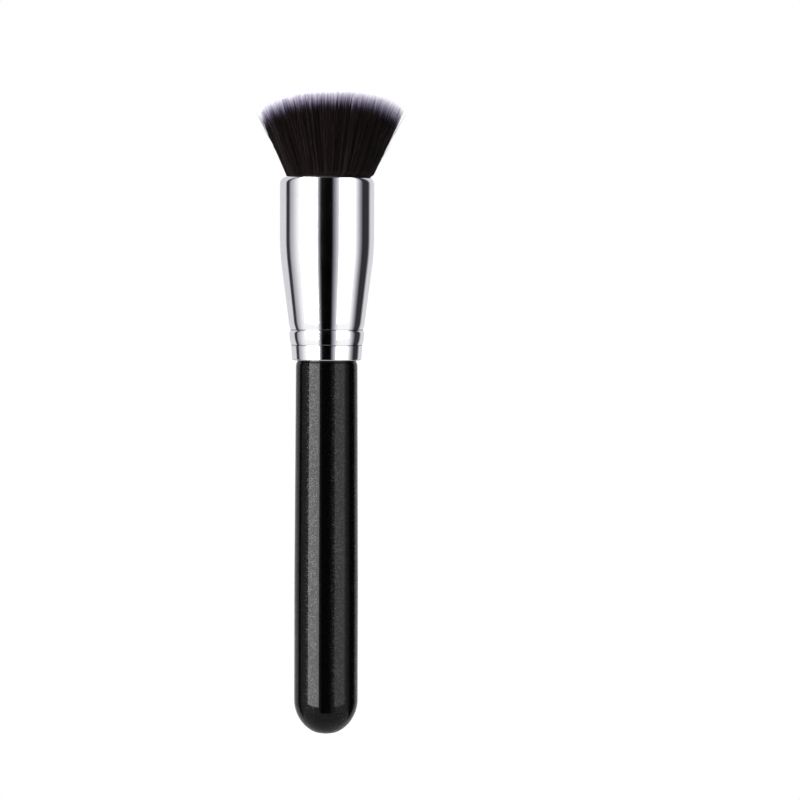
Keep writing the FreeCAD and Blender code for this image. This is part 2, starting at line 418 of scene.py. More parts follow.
@dataclass(frozen=True)
class Fibre(Finish):
    """Fine synthetic fibre, near black, that pales through violet to white over its last millimetres."""

    name = "black_fibre_pale_tip"

    root: Colour = (0.0025, 0.0015, 0.0015)
    streak: Colour = (0.0185, 0.0120, 0.0112)
    streak_rise: Pair = (0.5, 1.0)
    fade: tuple[tuple[float, Colour], ...] = (
        (0.0, (0.88, 0.87, 0.90)),
        (0.16, (0.60, 0.575, 0.66)),
        (0.32, (0.22, 0.198, 0.28)),
        (0.48, (0.035, 0.027, 0.043)),
        (0.66, (0.002, 0.0012, 0.0014)),
    )
    fade_end: Pair = (0.5, 0.75)
    pale_length: float = 7.6 * MM
    ragged_length: float = 1.3 * MM
    luck_step: float = 997.0
    roughness: float = 0.45
    shine: float = 0.06

    def dress(self, graph: Graph) -> None:
        """Fades each strand from its tip down, further on some than on others.

        Args:
            graph: the material's nodes.
        """
        strand = graph.signal("ShaderNodeAttribute", "Fac", {"attribute_name": STRAND})
        from_tip = graph.signal("ShaderNodeAttribute", "Fac", {"attribute_name": FROM_TIP})
        step = strand * self.luck_step
        luck = graph.signal("ShaderNodeTexWhiteNoise", "Value", {"noise_dimensions": "1D"}, {"W": step})
        down = (from_tip + (luck - 0.5) * self.ragged_length) * (1.0 / self.pale_length)
        tip = graph.add("ShaderNodeValToRGB", {"stops": self.fade}, {"Fac": down})
        body = graph.mixed(strand.rise(*self.streak_rise), self.root, self.streak)
        graph.surface({
            "Base Color": graph.mixed(down.rise(*self.fade_end), tip.outputs["Color"], body),
            "Roughness": self.roughness,
            "Specular IOR Level": self.shine,
        })


@dataclass(frozen=True)
class FibreCore(Finish):
    """The close-packed fibres under the loose ones, dark, streaked along their length and paler on top."""

    name = "packed_black_fibre"

    crown_z: float
    crown: Colour = (0.105, 0.096, 0.125)
    crown_fade: float = 0.6 * MM
    dark: Colour = (0.003, 0.002, 0.002)
    light: Colour = (0.009, 0.006, 0.006)
    light_rise: Pair = (0.4, 0.75)
    strand_width: float = 0.12 * MM
    strand_stretch: float = 0.02
    roughness: float = 0.6
    shine: float = 0.1

    def dress(self, graph: Graph) -> None:
        """Streaks the core and pales its crown.

        Args:
            graph: the material's nodes.
        """
        place = graph.place()
        along = graph.stretched(place, self.strand_stretch)
        streaks = graph.speckle(along, 0.5 / self.strand_width, 3.0)
        top = graph.axes(place)[2].rise(self.crown_z, self.crown_z + self.crown_fade)
        packed = graph.mixed(streaks.rise(*self.light_rise), self.dark, self.light)
        graph.surface({
            "Base Color": graph.mixed(top, packed, self.crown),
            "Roughness": self.roughness,
            "Specular IOR Level": self.shine,
            "Normal": graph.bump(streaks, self.strand_width),
        })


@dataclass(frozen=True)
class Cured(Finish):
    """Adhesive or resin that set in place, clouded and a little uneven."""

    name: str
    clear: Colour
    cloudy: Colour
    roughness: float
    coat: float
    cloud_size: float = 2.5 * MM
    cloud_rise: Pair = (0.35, 0.7)
    cloud_roughness: float = 0.2
    bubbles_per_cloud: float = 3.0
    bubble_depth: float = 0.02 * MM

    def dress(self, graph: Graph) -> None:
        """Clouds the filling and pits it with bubbles.

        Args:
            graph: the material's nodes.
        """
        place = graph.place()
        clouds = graph.speckle(place, 1.0 / self.cloud_size, 5.0)
        cells = {"Vector": place, "Scale": self.bubbles_per_cloud / self.cloud_size}
        bubbles = graph.signal("ShaderNodeTexVoronoi", "Distance", None, cells)
        graph.surface({
            "Base Color": graph.mixed(clouds.rise(*self.cloud_rise), self.clear, self.cloudy),
            "Roughness": self.roughness + clouds * self.cloud_roughness,
            "Coat Weight": self.coat,
            "Normal": graph.bump(bubbles, self.bubble_depth),
        })


@dataclass(frozen=True)
class TwistedThread(Finish):
    """Undyed thread with the slanting lay of its plies."""

    name = "undyed_twisted_thread"

    valley: Colour = (0.46, 0.42, 0.33)
    crest: Colour = (0.80, 0.77, 0.69)
    lay_pitch: float = 0.5 * MM
    lay_depth: float = 0.08 * MM
    waviness: float = 1.5
    fluff_per_metre: float = 12000.0
    fluff_share: float = 0.2
    roughness: float = 0.75
    fluff_roughness: float = 0.2

    def dress(self, graph: Graph) -> None:
        """Slants the plies across the thread and fluffs them.

        Args:
            graph: the material's nodes.
        """
        place = graph.place()
        lay = graph.signal(
            "ShaderNodeTexWave", "Fac", {"wave_type": "BANDS", "bands_direction": "DIAGONAL"},
            {"Vector": place, "Scale": 0.3 / self.lay_pitch, "Distortion": self.waviness},
        )
        fluff = graph.speckle(place, self.fluff_per_metre, 2.0)
        raised = lay * (1.0 - self.fluff_share) + fluff * self.fluff_share
        graph.surface({
            "Base Color": graph.mixed(raised, self.valley, self.crest),
            "Roughness": self.roughness + fluff * self.fluff_roughness,
            "Normal": graph.bump(lay, self.lay_depth),
        })


class Turning:
    """Half a section of a turned piece, drawn as (radius, height) in the XZ plane and spun about Z."""

    def __init__(self, radius: float, height: float) -> None:
        """Starts the section at a spot."""
        self.mesh = bmesh.new()
        self.end = self.mesh.verts.new((radius, 0.0, height))

    def line(self, radius: float, height: float) -> "Turning":
        """Draws a straight edge, cut into short steps so that shading stays where the shape turns.

        Args:
            radius: the radius that it ends at.
            height: the height that it ends at.

        Returns:
            The turning.
        """
        start = self.end.co.copy()
        way = Vector((radius, 0.0, height)) - start
        steps = max(1, math.ceil(way.length / PROFILE_PITCH))
        for step in range(1, steps + 1):
            self.end = bmesh.ops.extrude_vert_indiv(self.mesh, verts=[self.end])["verts"][0]
            self.end.co = start + way * (step / steps)
        return self

    def arc(self, centre: Pair, turn: float, steps: int = ARC_STEPS) -> "Turning":
        """Draws a round edge.

        Args:
            centre: the radius and height of its centre.
            turn: the angle that it turns by, from +X towards +Z, in radians.
            steps: how many short edges it has.

        Returns:
            The turning.
        """
        spun = bmesh.ops.spin(
            self.mesh, geom=[self.end], cent=(centre[0], 0.0, centre[1]), axis=(0.0, -1.0, 0.0),
            angle=turn, steps=steps,
        )
        self.end = spun["geom_last"][0]
        return self

    def through(self, middle: Pair, radius: float, height: float) -> "Turning":
        """Draws a round edge through a spot on its way to another.

        Args:
            middle: the radius and height of the spot on the way.
            radius: the radius that it ends at.
            height: the height that it ends at.

        Returns:
            The turning.
        """
        start = complex(self.end.co.x, self.end.co.z)
        end = complex(radius, height)
        first = complex(*middle) - start
        second = end - start
        area = (first.conjugate() * second).imag
        centre = start + 1j * (second * abs(first) ** 2 - first * abs(second) ** 2) / (-2.0 * area)
        turn = cmath.phase((end - centre) / (start - centre))
        if cmath.phase((complex(*middle) - centre) / (start - centre)) * turn < 0.0:
            turn -= math.copysign(2.0 * math.pi, turn)
        return self.arc((centre.real, centre.imag), turn, BEND_STEPS)

    def turned(self) -> bmesh.types.BMesh:
        """Spins the section into a surface that faces outwards.

        Returns:
            The mesh.
        """
        mesh = self.mesh
        bmesh.ops.spin(
            mesh, geom=mesh.verts[:] + mesh.edges[:], cent=(0.0, 0.0, 0.0), axis=(0.0, 0.0, 1.0),
            angle=2.0 * math.pi, steps=TURN_STEPS, use_merge=True,
        )
        bmesh.ops.remove_doubles(mesh, verts=mesh.verts, dist=MERGE_DISTANCE)
        bmesh.ops.recalc_face_normals(mesh, faces=mesh.faces)
        return mesh


def finished(name: str, mesh: bmesh.types.BMesh, *materials: bpy.types.Material) -> Piece:
    """Makes a piece of a mesh, smooth but for its sharp edges.

    Args:
        name: the piece's name.
        mesh: its mesh, which is freed.
        materials: its material slots in order.

    Returns:
        The piece.
    """
    data = bpy.data.meshes.new(name)
    mesh.to_mesh(data)
    mesh.free()
    data.shade_smooth()
    data.set_sharp_from_angle(angle=SHARP_ANGLE)
    return placed(name, data, *materials)


def placed(name: str, data: bpy.types.ID, *materials: bpy.types.Material) -> Piece:
    """Puts mesh or other data into the scene at the origin.

    Args:
        name: the object's name.
        data: what it shows.
        materials: its material slots in order.

    Returns:
        The object.
    """
    piece = bpy.data.objects.new(name, data)
    for material in materials:
        data.materials.append(material)
    bpy.context.scene.collection.objects.link(piece)
    return piece


@dataclass(frozen=True)
class Datum:
    """Heights and radii that the solids have, read from the frame."""

    butt_z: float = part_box("handle")[0].z
    tenon_top_z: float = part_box("handle")[1].z
    foot_z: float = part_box("ferrule")[0].z
    mouth_z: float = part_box("ferrule")[1].z
    barrel_radius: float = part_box("ferrule")[1].x
    root_z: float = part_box("tuft_root")[0].z
    bound_top_z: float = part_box("binding_thread")[1].z
    bound_radius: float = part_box("binding_thread")[1].x
    tip_z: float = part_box("tuft_head")[1].z
    shank_radius: float = SHANK["r_mm"] * MM
    shank_length: float = SHANK["length_mm"] * MM


@dataclass
class Handle:
    """The turned handle: round butt, straight shank, slight taper, shoulder, and a hidden tenon."""

    datum: Datum
    neck_radius: float = 7.9 * MM
    butt_side_radius: float = 9.43 * MM
    butt_side_turn: float = math.radians(50.0)
    nose_steps: int = 20
    side_steps: int = 24
    shoulder_gap: float = 0.3 * MM
    shoulder_round: float = 0.3 * MM
    shoulder_height: float = 1.5 * MM
    shoulder_bend_in: float = 0.25
    shoulder_bend_down: float = 0.45
    undercut_depth: float = 0.35 * MM
    tenon_radius: float = 8.12 * MM
    tenon_lift: float = 0.55 * MM
    tenon_chamfer: float = 0.8 * MM
    groove_count: int = 3
    groove_width: float = 1.0 * MM
    groove_depth: float = 0.4 * MM
    ripple_pitch: float = 1.9 * MM
    ripple_depth: float = 0.006 * MM

    def build(self) -> list[Piece]:
        """Builds and dresses the handle.

        Returns:
            The handle.
        """
        tenon_foot = self.datum.foot_z + self.tenon_lift
        mesh = self.section(tenon_foot).turned()
        for face in mesh.faces:
            face.material_index = int(face.calc_center_median().z > tenon_foot - PROFILE_PITCH / 8)
        self.ripple(mesh, tenon_foot)
        piece = finished("lacquered_handle", mesh, Lacquer().material(), BareWood().material())
        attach(piece, "brush_body")
        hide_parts("handle")
        return [piece]

    def section(self, tenon_foot: float) -> Turning:
        """Draws half of the section, from the butt to the end of the tenon.

        Args:
            tenon_foot: the height of the tenon's foot.

        Returns:
            The section.
        """
        datum = self.datum
        overhang = self.butt_side_radius - datum.shank_radius
        nose_radius = self.butt_side_radius - overhang / math.cos(self.butt_side_turn)
        shank_half = datum.shank_length / 2
        shoulder = datum.foot_z - self.shoulder_gap
        round_radius = self.neck_radius - self.shoulder_round
        section = Turning(0.0, datum.butt_z)
        nose_turn = math.pi / 2 - self.butt_side_turn
        section.arc((0.0, datum.butt_z + nose_radius), nose_turn, self.nose_steps)
        section.arc((-overhang, -shank_half), self.butt_side_turn, self.side_steps)
        section.line(datum.shank_radius, shank_half)
        section.line(self.neck_radius, shoulder - self.shoulder_height)
        bend_radius = self.neck_radius - self.shoulder_round * self.shoulder_bend_in
        bend_z = shoulder - self.shoulder_height * self.shoulder_bend_down
        section.through((bend_radius, bend_z), round_radius, shoulder)
        section.line(self.neck_radius - self.undercut_depth, shoulder)
        section.line(self.neck_radius - self.undercut_depth, tenon_foot)
        section.line(self.tenon_radius, tenon_foot)
        step = (datum.tenon_top_z - tenon_foot) / (self.groove_count + 1)
        for number in range(1, self.groove_count + 1):
            low = tenon_foot + step * number - self.groove_width / 2
            section.line(self.tenon_radius, low).line(self.tenon_radius - self.groove_depth, low)
            high = low + self.groove_width
            section.line(self.tenon_radius - self.groove_depth, high).line(self.tenon_radius, high)
        section.line(self.tenon_radius, datum.tenon_top_z - self.tenon_chamfer)
        section.line(self.tenon_radius - self.tenon_chamfer, datum.tenon_top_z)
        return section.line(0.0, datum.tenon_top_z)

    def ripple(self, mesh: bmesh.types.BMesh, tenon_foot: float) -> None:
        """Gives the surface below the tenon the slight ripple of sprayed lacquer.

        Args:
            mesh: the turned handle.
            tenon_foot: the height of the tenon's foot.
        """
        for vertex in mesh.verts:
            if vertex.co.z < tenon_foot - self.tenon_lift:
                spot = vertex.co / self.ripple_pitch
                vertex.co += vertex.normal * noise.noise(spot) * self.ripple_depth


@dataclass
class Ferrule:
    """The drawn shell: curled lip, band, bead between two rolled crimps, taper, barrel and curled mouth."""

    datum: Datum
    wall: float = 0.45 * MM
    lip_radius: float = 7.2 * MM
    lip_round: float = 0.45 * MM
    foot_radius: float = 8.87 * MM
    band_length: float = 3.9 * MM
    band_flare: float = 0.25 * MM
    bead_length: float = 3.9 * MM
    bead_rise: float = 0.44 * MM
    bead_crest_share: float = 0.77
    bead_head_drop: float = 0.24 * MM
    bead_foot_steps: int = 14
    bead_head_steps: int = 8
    taper_foot_rise: float = 0.2 * MM
    swell: float = 0.42 * MM
    swell_height: float = 2.0 * MM
    swell_bow: float = 0.046 * MM
    taper_length: float = 23.8 * MM
    blend_radius: float = 60.0 * MM
    blend_steps: int = 16
    crimp_width: float = 0.24 * MM
    crimp_depth: float = 0.025 * MM
    mouth_round: float = 2.0 * MM
    mouth_turn: float = math.radians(78.0)
    mouth_settle: float = 0.5 * MM
    mouth_steps: int = 20

    def build(self) -> list[Piece]:
        """Builds and dresses the ferrule.

        Returns:
            The ferrule.
        """
        mesh = self.section().turned()
        bmesh.ops.solidify(mesh, geom=mesh.faces[:], thickness=self.wall)
        foot = self.datum.foot_z
        lower = foot + self.band_length
        # The lip curl and the two crimps get painted shade in the metal's colour.
        metal = PolishedMetal((foot + self.lip_round / 4, lower, lower + self.bead_length))
        piece = finished("polished_ferrule", mesh, metal.material())
        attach(piece, "brush_body")
        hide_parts("ferrule")
        return [piece]

    def section(self) -> Turning:
        """Draws the outside of the shell from its lip up to the mouth.

        Returns:
            The section.
        """
        datum = self.datum
        half = self.crimp_width / 2
        lower = datum.foot_z + self.band_length
        upper = lower + self.bead_length
        barrel_z = upper + self.taper_length
        band_top = self.foot_radius + self.band_flare
        bead = band_top + self.bead_rise
        crest_z = lower + self.bead_crest_share * self.bead_length
        bead_head = bead - self.bead_head_drop
        taper_foot = band_top + self.taper_foot_rise
        section = Turning(self.lip_radius, datum.foot_z)
        section.line(self.foot_radius - self.lip_round, datum.foot_z)
        section.arc((self.foot_radius - self.lip_round, datum.foot_z + self.lip_round), math.pi / 2)
        section.line(band_top, lower - half)
        section.through((band_top - self.crimp_depth, lower), band_top, lower + half)
        self.crest(section, (bead, crest_z), (band_top, lower + half), self.bead_foot_steps)
        self.crest(section, (bead, crest_z), (bead_head, upper - half), self.bead_head_steps)
        section.through((taper_foot - self.crimp_depth, upper), taper_foot, upper + half)
        swell_z = upper + half + self.swell_height
        bow = taper_foot + self.swell / 2 + self.swell_bow
        section.through((bow, swell_z - self.swell_height / 2), taper_foot + self.swell, swell_z)
        blend = complex(datum.barrel_radius - self.blend_radius, barrel_z)
        away = complex(taper_foot + self.swell, swell_z) - blend
        turn = cmath.phase(away) + math.acos(self.blend_radius / abs(away))
        blend_foot = blend + self.blend_radius * complex(math.cos(turn), math.sin(turn))
        section.line(blend_foot.real, blend_foot.imag)
        section.arc((blend.real, barrel_z), -turn, self.blend_steps)
        mouth_foot = datum.mouth_z - self.mouth_settle - self.mouth_round * math.sin(self.mouth_turn)
        section.line(datum.barrel_radius, mouth_foot)
        mouth = (datum.barrel_radius - self.mouth_round, mouth_foot)
        return section.arc(mouth, self.mouth_turn, self.mouth_steps)

    @staticmethod
    def crest(section: Turning, top: Pair, side: Pair, steps: int) -> None:
        """Draws one side of the bead, upright at its crest.

        Args:
            section: the section to draw on.
            top: the radius and height of the crest.
            side: the radius and height where this side of the bead ends.
            steps: how many short edges it has.
        """
        drop = top[0] - side[0]
        length = abs(top[1] - side[1])
        size = (drop**2 + length**2) / (2.0 * drop)
        section.arc((top[0] - size, top[1]), math.asin(length / size), steps)


class Growth(Enum):
    """Where in the tuft a bundle of strands grows."""

    RIM = "rim"
    CROWN = "crown"
    STRAY = "stray"


@dataclass(frozen=True)
class Bundle:
    """Strands of one kind, shared among a few pieces."""

    growth: Growth
    pieces: int
    strands: int
    low_share: float
    high_share: float
    thickness: float
    sway: float
    spread: float
    raggedness: float
    drops: tuple[float, ...]
    widths: tuple[float, ...]


@dataclass
class Tuft:
    """The fibres: a packed core from the ferrule up, and loose strands round it and on its crown."""

    LONG_DROPS = (22.0 * MM, 20.4 * MM, 14.0 * MM, 8.0 * MM, 3.6 * MM, 1.7 * MM, 0.0)

    datum: Datum
    throat_radius: float = 10.2 * MM
    mouth_radius: float = 11.2 * MM
    flare: float = 0.455
    edge_radius: float = 18.6 * MM
    front_ease: float = 0.68
    proud: float = 1.2 * MM
    crown_drop: float = 3.0 * MM
    edge_drop: float = 2.9 * MM
    edge_power: float = 5.0
    lean_foot: float = 0.7 * MM
    lean: float = 0.018
    sunk: float = 1.2 * MM
    clump_size: float = 0.7 * MM
    clump_pull: float = 0.12 * MM
    clump_lift: float = 0.16 * MM
    clump_seed: int = 7
    core_share: float = 0.87
    core_depth: float = 3.4 * MM
    core_steps: int = 24
    thread_room: float = 0.8 * MM
    bend_length: float = 12.0 * MM
    shade_columns: int = 64
    shade_size: float = 0.22 * MM
    shade_scatter: float = 0.22
    sides: int = 3
    settle_rounds: int = 6
    thickness_scatter: float = 0.15
    stray_shortest: float = 0.35
    stray_outward: float = 2.0
    stray_dark: float = 4.0 * MM
    parting_share: float = 0.7
    parting_power: float = 1.5
    bundles: tuple[Bundle, ...] = (
        Bundle(
            Growth.RIM, 2, 4800, 0.86, 1.0, 0.05 * MM, 0.012, 0.12 * MM, 0.6 * MM,
            LONG_DROPS, (1.0, 1.0, 1.0, 1.0, 0.9, 0.55, 0.06),
        ),
        Bundle(
            Growth.CROWN, 5, 6400, 0.0, 0.9, 0.05 * MM, 0.012, 0.12 * MM, 0.6 * MM,
            (9.0 * MM, 3.4 * MM, 1.6 * MM, 0.0), (1.0, 0.9, 0.55, 0.06),
        ),
        Bundle(
            Growth.STRAY, 1, 420, 0.98, 1.0, 0.045 * MM, 0.05, 0.24 * MM, 0.6 * MM,
            LONG_DROPS, (1.0, 1.0, 1.0, 1.0, 0.95, 0.7, 0.12),
        ),
    )

    @property
    def crown(self) -> float:
        """How far the highest tips stand above the mouth."""
        return self.datum.tip_z - self.datum.mouth_z + self.proud

    def build(self) -> list[Piece]:
        """Builds and dresses the core and then the strands.

        Returns:
            The core and the pieces of strands.
        """
        crown_z = self.datum.mouth_z + self.core_height(self.edge_radius * self.core_share)
        core = finished("packed_fibre_core", self.core(), FibreCore(crown_z).material())
        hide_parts("tuft_root", "tuft_head")
        made = [core]
        noise.seed_set(self.clump_seed)
        finish = Fibre().material()
        for order, bundle in enumerate(self.bundles):
            for number in range(bundle.pieces):
                luck = np.random.default_rng([order, number])
                name = f"{bundle.growth.value}_strands_{number + 1}"
                made.append(placed(name, self.strands(name, bundle, luck), finish))
        for piece in made:
            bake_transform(piece)
        return made

    def tip_height(self, radius: Array, angle: Array) -> Array:
        """How far above the mouth tips end: the crown falls less to front and back than to the sides."""
        share = np.hypot(radius * np.cos(angle), radius * np.sin(angle) * self.front_ease) / self.edge_radius
        return self.crown - self.crown_drop * share**2 - self.edge_drop * share**self.edge_power

    def half_width(self, height: Array) -> Array:
        """The radius of the outermost strands at a height above the mouth, or in the throat below it."""
        return np.where(height > 0.0, self.mouth_radius + self.flare * height, self.throat_radius)

    def leaning(self, height: Array) -> Array:
        """How far the tuft leans towards +X at a height above the mouth."""
        return np.where(height > 0.0, self.lean_foot + self.lean * height, 0.0)

    def core_height(self, radius: float) -> float:
        """How far above the mouth the top of the core lies at a distance from the axis."""
        return float(self.tip_height(np.float64(radius), np.float64(0.0))) - self.core_depth

    def core(self) -> bmesh.types.BMesh:
        """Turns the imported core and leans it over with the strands.

        Returns:
            The mesh.
        """
        datum = self.datum
        bound = datum.bound_radius - self.thread_room
        section = Turning(0.0, datum.root_z).line(bound, datum.root_z).line(bound, datum.bound_top_z)
        section.line(self.throat_radius, datum.bound_top_z + self.throat_radius - bound)
        section.line(self.throat_radius, datum.mouth_z - self.sunk * 2.0)
        section.line(self.core_share * self.throat_radius, datum.mouth_z - self.sunk)
        section.line(self.core_share * self.mouth_radius, datum.mouth_z)
        rim = self.edge_radius * self.core_share
        rim_height = self.core_height(rim)
        rim_radius = self.core_share * float(self.half_width(np.float64(rim_height)))
        section.line(rim_radius, datum.mouth_z + rim_height)
        for step in range(1, self.core_steps + 1):
            radius = rim * (1.0 - step / self.core_steps)
            section.line(radius, datum.mouth_z + self.core_height(radius))
        mesh = section.turned()
        for vertex in mesh.verts:
            vertex.co.x += float(self.leaning(np.float64(vertex.co.z - datum.mouth_z)))
        return mesh

    def strands(self, name: str, bundle: Bundle, luck: np.random.Generator) -> bpy.types.Mesh:
        """Grows the strands of one piece.

        Args:
            name: the piece's name.
            bundle: what kind of strands they are.
            luck: the piece's own random numbers.

        Returns:
            The mesh, with each strand's shade and distance from its tip.
        """
        count = bundle.strands
        share = np.sqrt(luck.uniform(bundle.low_share**2, bundle.high_share**2, count))
        angle = luck.uniform(0.0, 2.0 * math.pi, count)
        tip = np.full(count, self.crown)
        for _ in range(self.settle_rounds):
            reach = np.minimum(share * self.half_width(tip), self.edge_radius)
            tip = (tip + self.tip_height(reach, angle)) / 2.0
        clumps = self.clumps(share * self.half_width(tip), angle, self.clump_size)
        tip = tip + clumps[:, 2] * self.clump_lift - np.abs(luck.normal(0.0, bundle.raggedness, count))
        outward = luck.normal(0.0, bundle.spread, count)
        if bundle.growth is Growth.STRAY:
            tip *= luck.uniform(self.stray_shortest, 1.0, count)
            outward = np.abs(outward) * self.stray_outward
        from_tip = np.tile(bundle.drops, (count, 1))
        if bundle.growth is not Growth.CROWN:
            from_tip = from_tip * (tip[:, None] + self.sunk) / bundle.drops[0]
        height = tip[:, None] - from_tip
        rise = np.clip(height / self.crown, 0.0, None) ** 2
        if bundle.growth is Growth.STRAY:
            parting = tip[:, None] * luck.uniform(0.0, self.parting_share, (count, 1))
            rise = np.clip((height - parting) / (tip[:, None] - parting), 0.0, None) ** self.parting_power
        radius = share[:, None] * self.half_width(height) + outward[:, None] * rise
        turned = angle[:, None] + luck.normal(0.0, bundle.sway, count)[:, None] * rise
        pull = clumps[:, None, :2] * self.clump_pull * rise[:, :, None]
        paths = np.stack([
            radius * np.cos(turned) + pull[:, :, 0] + self.leaning(height),
            radius * np.sin(turned) + pull[:, :, 1],
            self.datum.mouth_z + height,
        ], axis=2)
        scatter = bundle.thickness * self.thickness_scatter
        widths = np.outer(luck.normal(bundle.thickness, scatter, count), bundle.widths)
        if bundle.growth is Growth.STRAY:
            from_tip = from_tip + self.stray_dark
        shade = 0.5 + self.clumps(share * self.edge_radius, angle, self.shade_size)[:, 0]
        shade = (shade + luck.normal(0.0, self.shade_scatter, count)) * self.shade_columns
        column = np.clip(shade.astype(int), 0, self.shade_columns - 1)
        return self.tubes(name, paths, np.abs(widths), from_tip, column)

    @staticmethod
    def clumps(radius: Array, angle: Array, size: float) -> Array:
        """How neighbouring strands go together.

        Args:
            radius: the strands' distances from the axis.
            angle: their angles round it.
            size: how far apart strands are that go different ways.

        Returns:
            For each strand, a vector whose parts are about -1 to 1, alike for neighbours.
        """
        across = radius * np.cos(angle) / size
        along = radius * np.sin(angle) / size
        return np.array([noise.noise_vector(Vector((x, y, 0.0))) for x, y in zip(across, along)])

    def tubes(
        self, name: str, paths: Array, widths: Array, from_tip: Array, column: Array
    ) -> bpy.types.Mesh:
        """Sweeps a few-sided tube along each path.

        Args:
            name: the mesh's name.
            paths: the points of each path.
            widths: the tube's radius at each point.
            from_tip: each point's distance from the tip.
            column: each strand's shade, as a column of the bake's map.

        Returns:
            The mesh.
        """
        ring = bpy.data.curves.new("strand_section", "CURVE")
        outline = ring.splines.new("POLY")
        outline.points.add(self.sides - 1)
        for number, point in enumerate(outline.points):
            turn = -2.0 * math.pi * number / self.sides
            point.co = (math.cos(turn), math.sin(turn), 0.0, 1.0)
        outline.use_cyclic_u = True
        curve = bpy.data.curves.new(name, "CURVE")
        curve.dimensions = "3D"
        curve.bevel_mode = "OBJECT"
        curve.bevel_object = placed("strand_section", ring)
        count, steps = widths.shape
        points = np.ones((count, steps, 4), np.float32)
        points[:, :, :3] = paths
        for line, width in zip(points, widths.astype(np.float32)):
            spline = curve.splines.new("POLY")
            spline.points.add(steps - 1)
            spline.points.foreach_set("co", line.ravel())
            spline.points.foreach_set("radius", width)
        sweep = placed(name, curve)
        bpy.context.view_layer.update()
        mesh = bpy.data.meshes.new_from_object(sweep.evaluated_get(bpy.context.evaluated_depsgraph_get()))
        bpy.data.objects.remove(curve.bevel_object)
        bpy.data.objects.remove(sweep)
        bpy.data.curves.remove(curve)
        bpy.data.curves.remove(ring)
        mesh.name = name
        mesh.shade_smooth()
        self.mark(mesh, from_tip, column)
        return mesh

    def mark(self, mesh: bpy.types.Mesh, from_tip: Array, column: Array) -> None:
        """Gives each point its strand's shade, its distance from the tip and its place on the bake's map.

        Args:
            mesh: the swept strands, in order, ring after ring.
            from_tip: each ring's distance from the tip.
            column: each strand's shade, as a column of the map.
        """
        down = np.repeat(from_tip.ravel(), self.sides)
        strand = np.repeat(column, from_tip.shape[1] * self.sides)
        side = np.tile(np.arange(self.sides), from_tip.size)
        for name, values in ((STRAND, (strand + 0.5) / self.shade_columns), (FROM_TIP, down)):
            mesh.attributes.new(name, "FLOAT", "POINT").data.foreach_set("value", values.astype(np.float32))
        across = (strand + (side + 1.0) / (self.sides + 1.0)) / self.shade_columns
        spots = np.stack([across, 1.0 - down / down.max()], axis=1)
        corners = np.empty(len(mesh.loops), np.int32)
        mesh.loops.foreach_get("vertex_index", corners)
        while mesh.uv_layers:
            mesh.uv_layers.remove(mesh.uv_layers[0])
        mesh.uv_layers.new(name=BAKE_MAP).uv.foreach_set("vector", spots[corners].astype(np.float32).ravel())


@dataclass
class Fillings:
    """What holds the brush together inside the ferrule: the solids as they are, by name, dressed."""

    tenon_adhesive: Cured = Cured("cured_adhesive", (0.84, 0.78, 0.60), (0.70, 0.62, 0.43), 0.45, 0.0)
    root_resin: Cured = Cured("cured_amber_resin", (0.52, 0.30, 0.10), (0.36, 0.19, 0.06), 0.12, 0.6)
    binding_thread: TwistedThread = TwistedThread()

    def build(self) -> list[Piece]:
        """Dresses the three fillings.

        Returns:
            The fillings.
        """
        made = []
        for name, finish in vars(self).items():
            piece = frame["nodes"][name]
            piece.data.materials.clear()
            piece.data.materials.append(finish.material())
            made.append(piece)
        return made


@dataclass(frozen=True)
class Panel:
    """One curved softbox or scrim of the tent, in degrees to the right and up from the camera's side.

    In front of the brush the degrees are twice those that an upright mirror turns by, to the right and
    then up, to show the panel to the camera, so a panel's sides run straight along the brush. Behind it
    they are true ones.
    """

    start: float
    end: float
    start_soft: float
    end_soft: float
    glow: float
    low: float = -150.0
    low_soft: float = 2.0

    def light(self, angle: Signal, height: Signal) -> Signal:
        """How bright the panel is.

        Args:
            angle: the direction's angle round the brush.
            height: its angle above level, less the fall of the panels' lower edges.

        Returns:
            The panel's brightness there.
        """
        side = angle.rise(self.start, self.start + self.start_soft)
        side = side * (1.0 - angle.rise(self.end - self.end_soft, self.end))
        return side * height.rise(self.low, self.low + self.low_soft) * self.glow


